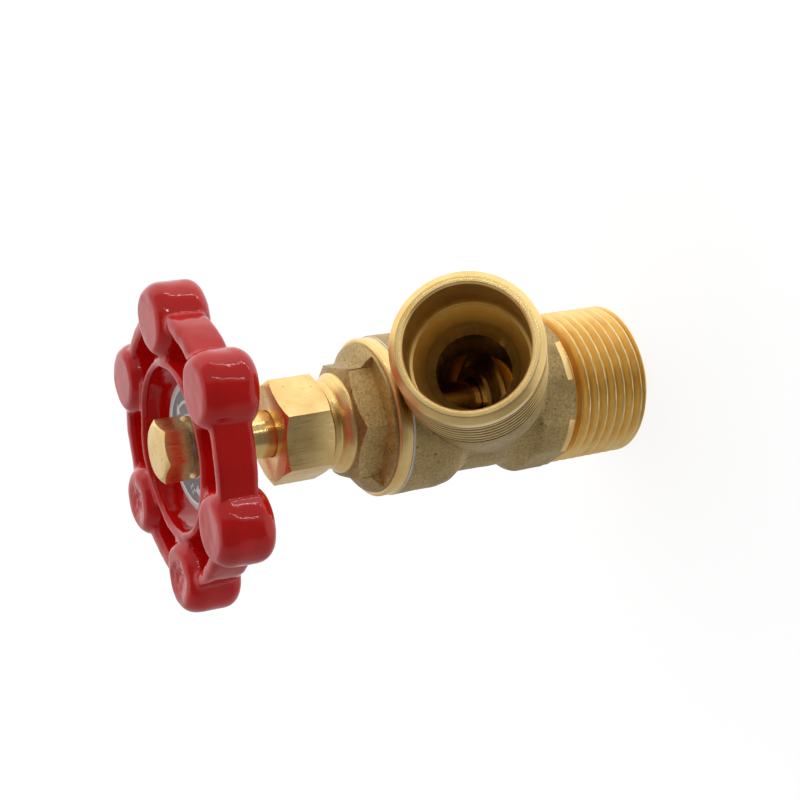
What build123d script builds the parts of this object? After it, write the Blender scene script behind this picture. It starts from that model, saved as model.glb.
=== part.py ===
"""Brass angle stop valve with a handwheel, as an assembly of separate solids.

Millimetres. +Z runs up the stem to the handwheel, and the origin is the centre of the inlet's
end face. The outlet leaves towards -Y and leans up by outlet_lean. The valve is modelled half open.
"""

import os
from math import cos, radians, sin, tan

from build123d import *

os.makedirs("parts", exist_ok=True)

# ---------------------------------------------------------------- driving dimensions
# Inlet: 3/4 inch pipe thread, 14 turns to the inch.
inlet_major_radius = 13.22
inlet_pitch = 1.814
inlet_ridge_depth = 1.16
inlet_ridges = 7
inlet_bore_radius = 9.5
inlet_chamfer = 1.15
inlet_thread_start = 1.9

# Outlet: M24 x 2 thread, with a socket behind its face.
outlet_lean = 30
outlet_axis_height = 26.8
outlet_length = 38.0
outlet_major_radius = 12.0
outlet_pitch = 2.0
outlet_ridge_depth = 0.75
outlet_ridges = 6
outlet_land = 2.4
outlet_face_radius = 11.0
socket_radius = 9.8
socket_depth = 11.0
outlet_bore_radius = 6.2
branch_radius = 11.7
branch_root_radius = 10.5

# Body casting.
wrench_height = 15.8
wrench_top = 23.2
wrench_flats = 26.0
wrench_turn = 34
wrench_corner_radius = 13.65
wrench_land_radius = 13.45
wrench_land_top = 17.1
waist_radius = 11.75
collar_bottom = 37.7
collar_radius = 13.55
body_top = 47.0
chamber_radius = 9.6
seat_height = 19.3
seat_bore_radius = 6.8
seat_land_radius = 8.0
bonnet_socket_radius = 11.0
bonnet_socket_bottom = 39.2

# Bonnet, its gasket and the stuffing box.
gasket_thickness = 0.35
flange_radius = 13.4
flange_thickness = 2.4
bonnet_flats = 18.0
bonnet_turn = 6.3
bonnet_hexagon_top = 55.1
neck_collar_radius = 8.4
neck_ring_radius = 7.4
neck_radius = 6.5
neck_top = 63.6
box_radius = 5.4
box_bottom = 52.4
packing_ring_height = 1.8

# Packing nut.
packing_nut_flats = 15.6
packing_nut_bottom = 58.7
packing_nut_top = 67.2
packing_nut_roof = 2.2
packing_nut_turn = 29

# Stem and disc, half open.
stem_radius = 3.8
stem_bottom = 26.0
stem_thread_radius = 4.75
stem_pitch = 2.0
stem_thread_bottom = 38.4
stem_thread_ridges = 5
stem_square = 5.4
stem_square_bottom = 74.4
stem_top_radius = 2.5
running_gap = 0.06
disc_radius = 8.3
disc_bottom = 22.8
disc_top = 28.8

# Handwheel.
knob_count = 6
first_knob_angle = 37.4
knob_circle_radius = 20.6
knob_radius = 6.1
knob_back = 76.1
knob_front = 85.2
rim_outer_radius = 22.3
rim_inner_radius = 19.6
ring_outer_radius = 14.6
ring_inner_radius = 13.0
rim_back = 77.8
rim_front = 84.2
hub_face = 80.0
hub_back = 74.4
plate_radius = 10.4
plate_thickness = 0.4
washer_thickness = 0.6
spring_washer_thickness = 0.8
wheel_nut_flats = 9.0
wheel_nut_height = 4.4
wheel_nut_turn = 49

# ---------------------------------------------------------------- places worked out from them
outlet_direction = Vector(0, -cos(radians(outlet_lean)), sin(radians(outlet_lean)))
outlet_origin = Vector(0, 0, outlet_axis_height)
outlet_axis = Axis(outlet_origin, outlet_direction)
outlet_section = Plane(
    origin=outlet_origin,
    x_dir=(1, 0, 0),
    z_dir=Vector(1, 0, 0).cross(outlet_direction),
)
flange_bottom = body_top + gasket_thickness
flange_top = flange_bottom + flange_thickness
washer_bottom = hub_face + plate_thickness
spring_washer_bottom = washer_bottom + washer_thickness
wheel_nut_bottom = spring_washer_bottom + spring_washer_thickness
wheel_nut_top = wheel_nut_bottom + wheel_nut_height


def ridges(start, pitch, count, crest, depth):
    """Outline points (radius, height) of count thread ridges, with flat crests, going up from start."""
    flat = pitch * 0.16
    flank = (pitch - 2 * flat) / 2
    points = []
    for turn in range(count):
        foot = start + turn * pitch
        points += [
            (crest - depth, foot),
            (crest, foot + flank),
            (crest, foot + flank + flat),
            (crest - depth, foot + 2 * flank + flat),
        ]
    return points


def save(part, name):
    """Label a finished solid and write it to its own file."""
    part.label = name
    export_step(part, f"parts/{name}.step")


# ---------------------------------------------------------------- valve body
with BuildPart() as wrench_hexagon:
    with BuildSketch(Plane.XY.offset(wrench_height - 0.5)):
        RegularPolygon(radius=wrench_flats / 2, side_count=6, major_radius=False, rotation=wrench_turn)
    extrude(amount=wrench_top + 2 - wrench_height)
    # The corners are turned to a narrow land by the inlet thread, and slope off above.
    with BuildSketch(Plane.XZ):
        with BuildLine():
            Polyline(
                (0, wrench_height - 0.5),
                (wrench_land_radius - 1.4, wrench_height - 0.5),
                (wrench_land_radius - 1.4, wrench_height),
                (wrench_land_radius - 0.3, wrench_height),
                (wrench_land_radius, wrench_height + 0.3),
                (wrench_land_radius, wrench_land_top),
                (wrench_corner_radius, wrench_land_top + 0.3),
                (wrench_corner_radius, wrench_top - 0.8),
                (waist_radius, wrench_top + 1.6),
                (0, wrench_top + 1.6),
                close=True,
            )
        make_face()
    revolve(axis=Axis.Z, mode=Mode.INTERSECT)

with BuildPart() as valve_body:
    # Inlet thread, waist and collar, as one turned outline.
    with BuildSketch(Plane.XZ):
        with BuildLine():
            Polyline(
                (0, 0),
                (inlet_major_radius - inlet_ridge_depth - 0.2, 0),
                (inlet_major_radius, inlet_chamfer),
                (inlet_major_radius, inlet_chamfer + 0.15),
                *ridges(inlet_thread_start, inlet_pitch, inlet_ridges, inlet_major_radius, inlet_ridge_depth),
                (inlet_major_radius - inlet_ridge_depth, wrench_height),
                (waist_radius, wrench_height),
                (waist_radius, collar_bottom - 2.4),
                (collar_radius - 0.35, collar_bottom),
                (collar_radius, body_top - 0.4),
                (collar_radius - 0.4, body_top),
                (0, body_top),
                close=True,
            )
        make_face()
    revolve(axis=Axis.Z)
    add(wrench_hexagon.part)
    # Outlet branch, turned about its own leaning axis.
    land_bottom = outlet_length - 1 - outlet_land
    thread_bottom = land_bottom - outlet_ridges * outlet_pitch
    with BuildSketch(outlet_section):
        with BuildLine():
            Polyline(
                (0, 0),
                (branch_root_radius, 0),
                (branch_radius, thread_bottom - 9),
                (branch_radius, thread_bottom - 1),
                *ridges(thread_bottom, outlet_pitch, outlet_ridges, outlet_major_radius, outlet_ridge_depth),
                (outlet_major_radius - outlet_ridge_depth, land_bottom),
                (outlet_major_radius, land_bottom + 0.5),
                (outlet_major_radius, outlet_length - 0.9),
                (outlet_face_radius, outlet_length),
                (0, outlet_length),
                close=True,
            )
        make_face()
    revolve(axis=outlet_axis)
    # Seat for the bonnet flange, cut through the top of the branch.
    with BuildSketch(Plane.XY.offset(body_top)):
        Circle(flange_radius + 0.6)
    extrude(amount=5, mode=Mode.SUBTRACT)
    # Way through: inlet bore, raised seat, chamber and the socket that takes the bonnet.
    with BuildSketch(Plane.XZ):
        with BuildLine():
            Polyline(
                (0, -1),
                (inlet_bore_radius, -1),
                (inlet_bore_radius, wrench_height - 2),
                (seat_bore_radius, wrench_height + 0.7),
                (seat_bore_radius, seat_height),
                (seat_land_radius, seat_height),
                (seat_land_radius + 0.4, seat_height - 1.2),
                (chamber_radius, seat_height - 1.2),
                (chamber_radius, bonnet_socket_bottom),
                (bonnet_socket_radius, bonnet_socket_bottom + 0.8),
                (bonnet_socket_radius, body_top + 1),
                (0, body_top + 1),
                close=True,
            )
        make_face()
    revolve(axis=Axis.Z, mode=Mode.SUBTRACT)
    # Outlet: bore, cone and the wide socket behind the face.
    with BuildSketch(outlet_section):
        with BuildLine():
            Polyline(
                (0, 0),
                (outlet_bore_radius, 0),
                (outlet_bore_radius, outlet_length - socket_depth - 6.4),
                (socket_radius - 0.5, outlet_length - socket_depth),
                (socket_radius, outlet_length - socket_depth),
                (socket_radius, outlet_length - 0.3),
                (socket_radius + 0.3, outlet_length + 0.001),
                (socket_radius + 0.3, outlet_length + 1),
                (0, outlet_length + 1),
                close=True,
            )
        make_face()
    revolve(axis=outlet_axis, mode=Mode.SUBTRACT)
save(valve_body.part, "valve_body")

# ---------------------------------------------------------------- bonnet and gasket
with BuildPart() as bonnet_gasket:
    with BuildSketch(Plane.XY.offset(body_top)):
        Circle(flange_radius)
        Circle(bonnet_socket_radius + 0.1, mode=Mode.SUBTRACT)
    extrude(amount=gasket_thickness)
save(bonnet_gasket.part, "bonnet_gasket")

with BuildPart() as bonnet_hexagon:
    with BuildSketch(Plane.XY.offset(flange_top - 0.2)):
        RegularPolygon(radius=bonnet_flats / 2, side_count=6, major_radius=False, rotation=bonnet_turn)
    extrude(amount=bonnet_hexagon_top - flange_top + 0.2)
    with BuildSketch(Plane.XZ):
        with BuildLine():
            Polyline(
                (0, flange_top - 0.2),
                (bonnet_flats / 2 + 1.5, flange_top - 0.2),
                (bonnet_flats / 2 + 1.5, bonnet_hexagon_top - 1.1),
                (neck_collar_radius, bonnet_hexagon_top),
                (0, bonnet_hexagon_top),
                close=True,
            )
        make_face()
    revolve(axis=Axis.Z, mode=Mode.INTERSECT)

# A sloping shoulder stands at two sides of the hexagon. It is cut away at the other four flats.
with BuildPart() as bonnet_shoulder:
    with BuildSketch(Plane.XZ):
        with BuildLine():
            Polyline(
                (0, flange_top - 0.2),
                (flange_radius - 0.8, flange_top - 0.2),
                (flange_radius - 0.8, flange_top + 0.2),
                (flange_radius - 1.1, flange_top + 0.7),
                (flange_radius - 2.0, flange_top + 1.5),
                (flange_radius - 3.5, flange_top + 2.5),
                (bonnet_flats / 2, flange_top + 3.3),
                (0, flange_top + 3.3),
                close=True,
            )
        make_face()
    revolve(axis=Axis.Z)
    half_side = bonnet_flats / 2 * tan(radians(30))
    for flat, side in ((-90, 1), (-150, -1), (30, -1), (90, 1)):
        corner = (bonnet_flats / 2, side * half_side)
        with BuildSketch(Plane.XY.offset(flange_top + 0.5).rotated((0, 0, bonnet_turn + flat))):
            Polygon(
                corner,
                (2 * corner[0], 2 * corner[1]),
                (2 * corner[0], -side * 15),
                (corner[0], -side * 15),
                align=None,
            )
        extrude(amount=5, mode=Mode.SUBTRACT)

with BuildPart() as bonnet:
    with BuildSketch(Plane.XZ):
        with BuildLine():
            Polyline(
                (0, bonnet_socket_bottom + 1),
                (bonnet_socket_radius - 1, bonnet_socket_bottom + 1),
                (bonnet_socket_radius - 0.1, bonnet_socket_bottom + 2),
                (bonnet_socket_radius - 0.1, flange_bottom),
                (flange_radius - 0.2, flange_bottom),
                (flange_radius, flange_bottom + 0.2),
                (flange_radius, flange_top - 0.3),
                (flange_radius - 0.5, flange_top),
            )
            Polyline(
                (flange_radius - 0.5, flange_top),
                (neck_collar_radius, flange_top + 0.3),
                (neck_collar_radius, bonnet_hexagon_top + 0.4),
                (neck_ring_radius, bonnet_hexagon_top + 1.6),
                (neck_ring_radius - 0.3, bonnet_hexagon_top + 1.8),
                (neck_ring_radius, bonnet_hexagon_top + 2.0),
                (neck_ring_radius, packing_nut_bottom - 0.3),
                (neck_ring_radius - 0.3, packing_nut_bottom - 0.1),
                (neck_radius - 0.5, packing_nut_bottom - 0.1),
                *ridges(packing_nut_bottom, 1.0, 4, neck_radius, 0.5),
                (neck_radius - 0.5, neck_top),
                (0, neck_top),
                (0, bonnet_socket_bottom + 1),
            )
        make_face()
    revolve(axis=Axis.Z)
    add(bonnet_hexagon.part)
    add(bonnet_shoulder.part)
    # Threaded way for the stem, with the wider stuffing box above it.
    with Locations((0, 0, bonnet_socket_bottom)):
        Cylinder(
            stem_thread_radius + running_gap,
            box_bottom - bonnet_socket_bottom,
            align=(Align.CENTER, Align.CENTER, Align.MIN),
            mode=Mode.SUBTRACT,
        )
    with Locations((0, 0, box_bottom)):
        Cylinder(
            box_radius,
            neck_top - box_bottom,
            align=(Align.CENTER, Align.CENTER, Align.MIN),
            mode=Mode.SUBTRACT,
        )
save(bonnet.part, "bonnet")


# ---------------------------------------------------------------- stuffing box contents
def sleeve(outer, inner, bottom, height):
    """A plain ring about the stem axis."""
    with BuildPart() as ring:
        with BuildSketch(Plane.XY.offset(bottom)):
            Circle(outer)
            Circle(inner, mode=Mode.SUBTRACT)
        extrude(amount=height)
    return ring.part


packing_washer_height = 0.8
save(
    sleeve(box_radius - 0.1, stem_radius + 0.1, box_bottom, packing_washer_height),
    "packing_washer",
)

packing_bottom = box_bottom + packing_washer_height
for index, position in enumerate(("lower", "middle", "upper")):
    with BuildPart() as packing_ring:
        with BuildSketch(Plane.XY.offset(packing_bottom + index * packing_ring_height)):
            Circle(box_radius - 0.02)
            Circle(stem_radius + running_gap, mode=Mode.SUBTRACT)
        extrude(amount=packing_ring_height - 0.04)
        fillet(packing_ring.edges().filter_by(GeomType.CIRCLE).group_by(SortBy.RADIUS)[-1], radius=0.25)
    save(packing_ring.part, f"packing_ring_{position}")

follower_bottom = packing_bottom + 3 * packing_ring_height
follower_flange_bottom = packing_nut_top - packing_nut_roof - 0.9
with BuildPart() as gland_follower:
    with BuildSketch(Plane.XY.offset(follower_bottom)):
        Circle(box_radius - 0.1)
        Circle(stem_radius + 0.1, mode=Mode.SUBTRACT)
    extrude(amount=follower_flange_bottom - follower_bottom)
    with BuildSketch(Plane.XY.offset(follower_flange_bottom)):
        Circle(neck_radius - 0.3)
        Circle(stem_radius + 0.1, mode=Mode.SUBTRACT)
    extrude(amount=0.9)
save(gland_follower.part, "gland_follower")

with BuildPart() as packing_nut:
    with BuildSketch(Plane.XY.offset(packing_nut_bottom)):
        RegularPolygon(radius=packing_nut_flats / 2, side_count=6, major_radius=False, rotation=packing_nut_turn)
    extrude(amount=packing_nut_top - packing_nut_bottom)
    # Both ends are turned to a cone, which cuts the corners to arcs.
    with BuildSketch(Plane.XZ):
        with BuildLine():
            Polyline(
                (0, packing_nut_bottom),
                (packing_nut_flats / 2 - 0.1, packing_nut_bottom),
                (packing_nut_flats / 2 + 1.6, packing_nut_bottom + 0.95),
                (packing_nut_flats / 2 + 1.6, packing_nut_top - 0.75),
                (packing_nut_flats / 2 + 0.1, packing_nut_top),
                (0, packing_nut_top),
                close=True,
            )
        make_face()
    revolve(axis=Axis.Z, mode=Mode.INTERSECT)
    with BuildSketch(Plane.XY.offset(packing_nut_bottom)):
        Circle(neck_radius + 0.05)
    extrude(amount=packing_nut_top - packing_nut_roof - packing_nut_bottom, mode=Mode.SUBTRACT)
    with BuildSketch(Plane.XY.offset(packing_nut_bottom)):
        Circle(stem_radius + 0.1)
    extrude(amount=packing_nut_top - packing_nut_bottom, mode=Mode.SUBTRACT)
save(packing_nut.part, "packing_nut")

# ---------------------------------------------------------------- stem
stem_thread_top = stem_thread_bottom + stem_thread_ridges * stem_pitch
stem_top = wheel_nut_top - 1.4
with BuildPart() as stem:
    with BuildSketch(Plane.XZ):
        with BuildLine():
            Polyline(
                (0, stem_bottom),
                (stem_radius - 0.5, stem_bottom),
                (stem_radius - 0.1, stem_bottom + 0.3),
                (stem_radius - 0.1, stem_bottom + 1.2),
                (2.5, stem_bottom + 1.2),
                (2.5, disc_top - 0.5),
                (stem_radius - 0.05, disc_top - 0.3),
                (stem_radius - 0.05, stem_thread_bottom - 0.4),
                *ridges(stem_thread_bottom, stem_pitch, stem_thread_ridges, stem_thread_radius, 0.9),
                (stem_radius, stem_thread_top),
                (stem_radius, stem_square_bottom),
                (stem_top_radius + 1.1, stem_square_bottom),
                (stem_top_radius + 1.1, hub_face - 0.2),
                (stem_top_radius - 0.35, hub_face - 0.2),
                *ridges(hub_face, 0.8, 5, stem_top_radius, 0.35),
                (stem_top_radius - 0.35, stem_top - 0.3),
                (stem_top_radius - 0.7, stem_top),
                (0, stem_top),
                close=True,
            )
        make_face()
    revolve(axis=Axis.Z)
    # Four flats that drive the handwheel.
    with BuildSketch(Plane.XY.offset(stem_square_bottom)):
        Circle(stem_radius + 1)
        Rectangle(stem_square, stem_square, mode=Mode.SUBTRACT)
    extrude(amount=hub_face - 0.2 - stem_square_bottom, mode=Mode.SUBTRACT)
save(stem.part, "stem")

# ---------------------------------------------------------------- disc, swivelling on the stem's head
cavity_radius = stem_radius + 0.25
clip_radius = cavity_radius + 0.7
clip_bottom = stem_bottom + 1.5
clip_thickness = 0.7
seat_disc_height = 1.8
holder_bottom = disc_bottom + seat_disc_height
stud_radius = 2.0
disc_nut_height = 2.0
disc_washer_height = 0.6
with BuildPart() as disc_holder:
    with BuildSketch(Plane.XZ):
        with BuildLine():
            Polyline(
                (0, disc_bottom - disc_washer_height - disc_nut_height - 0.3),
                (stud_radius, disc_bottom - disc_washer_height - disc_nut_height - 0.3),
                (stud_radius, holder_bottom),
                (disc_radius - 0.6, holder_bottom),
                (disc_radius - 0.6, disc_bottom + 0.6),
                (disc_radius, disc_bottom + 0.6),
                (disc_radius, holder_bottom + 2.0),
                (disc_radius - 0.6, holder_bottom + 2.5),
                (clip_radius + 1.2, disc_top - 0.6),
                (clip_radius + 1.0, disc_top),
                (cavity_radius, disc_top),
                (cavity_radius, clip_bottom + clip_thickness + 0.05),
                (clip_radius, clip_bottom + clip_thickness + 0.05),
                (clip_radius, clip_bottom),
                (cavity_radius, clip_bottom),
                (cavity_radius, stem_bottom - 0.2),
                (0, stem_bottom - 0.2),
                close=True,
            )
        make_face()
    revolve(axis=Axis.Z)
save(disc_holder.part, "disc_holder")

with BuildPart() as disc_clip:
    with BuildSketch(Plane.XY.offset(clip_bottom + 0.02)):
        Circle(clip_radius - 0.02)
        Circle(2.8, mode=Mode.SUBTRACT)
        with Locations((0, clip_radius)):
            Rectangle(2 * 2.8, 2 * clip_radius, mode=Mode.SUBTRACT)
    extrude(amount=clip_thickness)
save(disc_clip.part, "disc_clip")

save(sleeve(disc_radius - 0.62, stud_radius + 0.02, disc_bottom, seat_disc_height), "seat_disc")
save(
    sleeve(4.4, stud_radius + 0.1, disc_bottom - disc_washer_height, disc_washer_height),
    "disc_washer",
)

with BuildPart() as disc_nut:
    with BuildSketch(Plane.XY.offset(disc_bottom - disc_washer_height - disc_nut_height)):
        RegularPolygon(radius=3.5, side_count=6, major_radius=False)
        Circle(stud_radius + 0.02, mode=Mode.SUBTRACT)
    extrude(amount=disc_nut_height)
save(disc_nut.part, "disc_nut")

# ---------------------------------------------------------------- handwheel
with BuildPart() as knob:
    with BuildSketch(Plane.XZ):
        with BuildLine():
            Polyline(
                (0, knob_back),
                (knob_radius - 2.6, knob_back),
            )
            ThreePointArc(
                (knob_radius - 2.6, knob_back),
                (knob_radius - 0.75, knob_back + 0.75),
                (knob_radius, knob_back + 2.6),
            )
            Line((knob_radius, knob_back + 2.6), (knob_radius, knob_front - 3.2))
            ThreePointArc(
                (knob_radius, knob_front - 3.2),
                (knob_radius - 0.4, knob_front - 1.2),
                (knob_radius - 1.5, knob_front),
            )
            Polyline(
                (knob_radius - 1.5, knob_front),
                (0, knob_front),
                (0, knob_back),
            )
        make_face()
    revolve(axis=Axis.Z)

with BuildPart() as handwheel:
    # Rim and inner ring.
    for inner, outer in ((rim_inner_radius, rim_outer_radius), (ring_inner_radius, ring_outer_radius)):
        with BuildSketch(Plane.XZ):
            with Locations(((inner + outer) / 2, (rim_back + rim_front) / 2)):
                RectangleRounded(outer - inner, rim_front - rim_back, radius=0.7)
        revolve(axis=Axis.Z)
    # Knobs, each tied to the inner ring by a web.
    with BuildSketch(Plane.XY.offset(rim_back + 0.4)):
        with PolarLocations((ring_outer_radius + rim_inner_radius) / 2, knob_count, first_knob_angle):
            Rectangle(rim_inner_radius - ring_inner_radius - 0.6, 6.4)
    extrude(amount=rim_front - rim_back - 0.8)
    with PolarLocations(knob_circle_radius, knob_count, first_knob_angle):
        add(knob.part)
    # Recessed hub with three short arms.
    with BuildSketch(Plane.XZ):
        with BuildLine():
            Polyline(
                (0, hub_back),
                (5.6, hub_back),
                (6.4, rim_back),
                (plate_radius - 0.2, rim_back + 0.3),
                (plate_radius - 0.2, hub_face),
                (0, hub_face),
                close=True,
            )
        make_face()
    revolve(axis=Axis.Z)
    with BuildSketch(Plane.XY.offset(rim_back + 0.3)):
        with PolarLocations((plate_radius + ring_inner_radius) / 2, 3, first_knob_angle + 30):
            Rectangle(ring_inner_radius - plate_radius + 2, 6)
    extrude(amount=hub_face - rim_back - 0.3)
    # Square hole for the stem.
    with BuildSketch(Plane.XY.offset(hub_back)):
        Rectangle(stem_square + 0.06, stem_square + 0.06)
    extrude(amount=hub_face - hub_back, mode=Mode.SUBTRACT)
save(handwheel.part, "handwheel")

save(sleeve(plate_radius, stem_top_radius + 0.1, hub_face, plate_thickness), "id_plate")
save(sleeve(5.0, stem_top_radius + 0.1, washer_bottom, washer_thickness), "wheel_washer")

with BuildPart() as spring_washer:
    with BuildSketch(Plane.XY.offset(spring_washer_bottom)):
        Circle(4.2)
        Circle(stem_top_radius + 0.1, mode=Mode.SUBTRACT)
        with Locations(Location((0, 4, 0), 20)):
            Rectangle(0.5, 4, mode=Mode.SUBTRACT)
    extrude(amount=spring_washer_thickness)
save(spring_washer.part, "spring_washer")

with BuildPart() as handwheel_nut:
    with BuildSketch(Plane.XY.offset(wheel_nut_bottom)):
        RegularPolygon(radius=wheel_nut_flats / 2, side_count=6, major_radius=False, rotation=wheel_nut_turn)
    extrude(amount=wheel_nut_height)
    with BuildSketch(Plane.XZ):
        with BuildLine():
            Polyline(
                (0, wheel_nut_bottom),
                (wheel_nut_flats / 2 + 0.8, wheel_nut_bottom),
                (wheel_nut_flats / 2 + 0.8, wheel_nut_top - 0.6),
                (wheel_nut_flats / 2 - 0.3, wheel_nut_top),
                (0, wheel_nut_top),
                close=True,
            )
        make_face()
    revolve(axis=Axis.Z, mode=Mode.INTERSECT)
    # Blind hole: the nut's front face is closed.
    with BuildSketch(Plane.XY.offset(wheel_nut_bottom)):
        Circle(stem_top_radius + 0.03)
    extrude(amount=stem_top + 0.2 - wheel_nut_bottom, mode=Mode.SUBTRACT)
save(handwheel_nut.part, "handwheel_nut")
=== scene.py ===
from math import cos, hypot, pi, radians, sin, tan, tau

import bmesh
import bpy
import numpy as np
from mathutils import Matrix, Vector, noise


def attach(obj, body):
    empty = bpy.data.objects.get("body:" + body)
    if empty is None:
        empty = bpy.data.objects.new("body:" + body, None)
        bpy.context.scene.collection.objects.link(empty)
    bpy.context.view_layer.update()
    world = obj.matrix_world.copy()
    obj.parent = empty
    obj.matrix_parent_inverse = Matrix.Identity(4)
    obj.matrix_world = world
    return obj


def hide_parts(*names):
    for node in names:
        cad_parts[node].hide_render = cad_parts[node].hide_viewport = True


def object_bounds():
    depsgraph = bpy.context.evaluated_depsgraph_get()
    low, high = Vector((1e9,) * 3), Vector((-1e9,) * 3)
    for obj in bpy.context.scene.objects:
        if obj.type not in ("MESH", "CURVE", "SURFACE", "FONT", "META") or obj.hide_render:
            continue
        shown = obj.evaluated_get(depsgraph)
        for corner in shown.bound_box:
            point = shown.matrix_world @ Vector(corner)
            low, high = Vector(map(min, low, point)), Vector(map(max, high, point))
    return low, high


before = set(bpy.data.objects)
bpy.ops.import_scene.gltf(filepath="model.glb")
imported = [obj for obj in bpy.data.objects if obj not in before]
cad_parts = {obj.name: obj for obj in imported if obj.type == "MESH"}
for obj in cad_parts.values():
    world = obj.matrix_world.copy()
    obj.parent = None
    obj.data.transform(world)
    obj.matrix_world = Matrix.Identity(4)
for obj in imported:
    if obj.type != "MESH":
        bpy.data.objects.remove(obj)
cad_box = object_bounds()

# Lengths are in millimetres while a piece is being shaped. finish_piece turns them into metres.
MM = 0.001

# ---------------------------------------------------------------- dimensions, as in the CAD model
inlet_major_radius = 13.22
inlet_pitch = 1.814
inlet_thread_depth = 1.16
inlet_thread_end = 14.6
inlet_chamfer = 1.15
inlet_bore_radius = 9.5

outlet_lean = 30
outlet_axis_height = 26.8
outlet_length = 38.0
outlet_major_radius = 12.0
outlet_pitch = 2.0
outlet_thread_depth = 0.75
outlet_thread_start = 22.6
outlet_land_start = 34.6
outlet_start = 22.2
socket_radius = 9.8
socket_bottom = 27.0
outlet_bore_radius = 6.2
branch_radius = 11.7

wrench_height = 15.8
wrench_top = 23.2
wrench_flats = 26.0
wrench_turn = 34
wrench_corner_radius = 13.65
wrench_land_radius = 13.45
wrench_land_top = 17.1
waist_radius = 11.75
collar_bottom = 37.7
collar_radius = 13.55
body_top = 47.0
chamber_radius = 9.6
seat_height = 19.3
seat_bore_radius = 6.8
seat_land_radius = 8.0
bonnet_socket_radius = 11.0
bonnet_socket_bottom = 39.2

flange_bottom = 47.35
flange_top = 49.75
flange_radius = 13.4
bonnet_flats = 18.0
bonnet_turn = 6.3
bonnet_hexagon_top = 55.1
neck_collar_radius = 8.4
neck_ring_radius = 7.4
neck_radius = 6.5
nut_bottom = 58.7
neck_top = 63.6
box_radius = 5.4
box_bottom = 52.4
stem_way_radius = 4.81

knob_circle_radius = 20.6
knob_front = 85.2
dented_knob_angles = (157.4, 97.4)
plate_radius = 10.4
plate_back = 80.0
plate_hole_radius = 2.6

outlet_frame = Matrix.Translation((0, 0, outlet_axis_height)) @ Matrix.Rotation(
    radians(90 - outlet_lean), 4, "X"
)


# ---------------------------------------------------------------- mesh helpers
def new_object(name, vertices, faces):
    """A mesh object in the scene, from plain lists."""
    mesh = bpy.data.meshes.new(name)
    mesh.from_pydata(vertices, [], faces)
    obj = bpy.data.objects.new(name, mesh)
    bpy.context.scene.collection.objects.link(obj)
    return obj


def edit(obj, change):
    """Run change on obj's mesh as a bmesh."""
    shape = bmesh.new()
    shape.from_mesh(obj.data)
    change(shape)
    shape.to_mesh(obj.data)
    shape.free()


def arc(centre, radius, start, end, steps):
    """Outline points on an arc, angles in degrees."""
    angles = np.radians(np.linspace(start, end, steps))
    return [(centre[0] + radius * cos(a), centre[1] + radius * sin(a)) for a in angles]


def eased(outline, radius):
    """The outline with each corner rounded to about this radius."""
    count = len(outline)
    points = []
    for index in range(count):
        corner = Vector(outline[index])
        before = Vector(outline[index - 1]) - corner
        after = Vector(outline[(index + 1) % count]) - corner
        turn = before.angle(-after, 0)
        if corner.x < 1e-6 or turn < radians(20):
            points.append(tuple(corner))
            continue
        reach = min(radius, before.length * 0.4, after.length * 0.4)
        start = corner + before.normalized() * reach
        end = corner + after.normalized() * reach
        for share in (0, 0.25, 0.5, 0.75, 1):
            first = start.lerp(corner, share)
            points.append(tuple(first.lerp(corner.lerp(end, share), share)))
    return points


def lathe(name, outline, segments=192, relief=None):
    """A closed outline of (radius, height) points, turned about Z. relief changes the radius."""
    outline = np.array(outline, float)
    radius, height = outline[:, 0], outline[:, 1]
    area = np.sum(radius * np.roll(height, -1) - np.roll(radius, -1) * height)
    if area < 0:
        radius, height = radius[::-1], height[::-1]
    count = len(radius)
    angle = np.linspace(0, tau, segments, endpoint=False)[:, None]
    radius = np.broadcast_to(radius, (segments, count))
    height = np.broadcast_to(height, (segments, count))
    if relief:
        radius = relief(radius, height, angle)
    vertices = np.stack((radius * np.cos(angle), radius * np.sin(angle), height), axis=-1)
    here = np.arange(segments)[:, None]
    there = (here + 1) % segments
    low = np.arange(count)[None, :]
    high = (low + 1) % count
    faces = np.stack(
        (here * count + low, there * count + low, there * count + high, here * count + high), axis=-1
    )
    obj = new_object(name, vertices.reshape(-1, 3).tolist(), faces.reshape(-1, 4).tolist())
    if np.min(np.abs(outline[:, 0])) < 1e-6:
        edit(obj, lambda shape: bmesh.ops.remove_doubles(shape, verts=shape.verts, dist=1e-4))
    return obj


def thread_relief(crest, depth, pitch, start, end):
    """A relief that cuts a screw thread with flat crests and roots between two heights."""

    def relief(radius, height, angle):
        phase = (height / pitch - angle / tau) % 1
        from_crest = np.abs(phase - 0.5) * 2
        tooth = np.clip((0.84 - from_crest) / 0.68, 0, 1)
        inside = np.clip((height - start) / 0.3, 0, 1) * np.clip((end - height) / 0.3, 0, 1)
        return np.where(inside > 0, np.minimum(radius, crest - depth * (1 - tooth) * inside), radius)

    return relief


def risers(radius, start, end, step=0.1):
    """Close-set outline points on a cylinder, for a thread relief to move."""
    return [(radius, z) for z in np.linspace(start, end, round(abs(end - start) / step) + 1)]


def prism(name, outline, bottom, top):
    """A flat outline of (x, y) points, raised to a solid."""
    count = len(outline)
    vertices = [(x, y, bottom) for x, y in outline] + [(x, y, top) for x, y in outline]
    sides = [(i, (i + 1) % count, (i + 1) % count + count, i + count) for i in range(count)]
    ends = [tuple(reversed(range(count))), tuple(range(count, 2 * count))]
    return new_object(name, vertices, sides + ends)


def hexagon(name, flats, turn, bottom, top):
    """A hexagonal prism with a corner at the angle turn."""
    radius = flats / 2 / cos(radians(30))
    return prism(name, arc((0, 0), radius, turn, turn + 300, 6), bottom, top)


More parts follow.
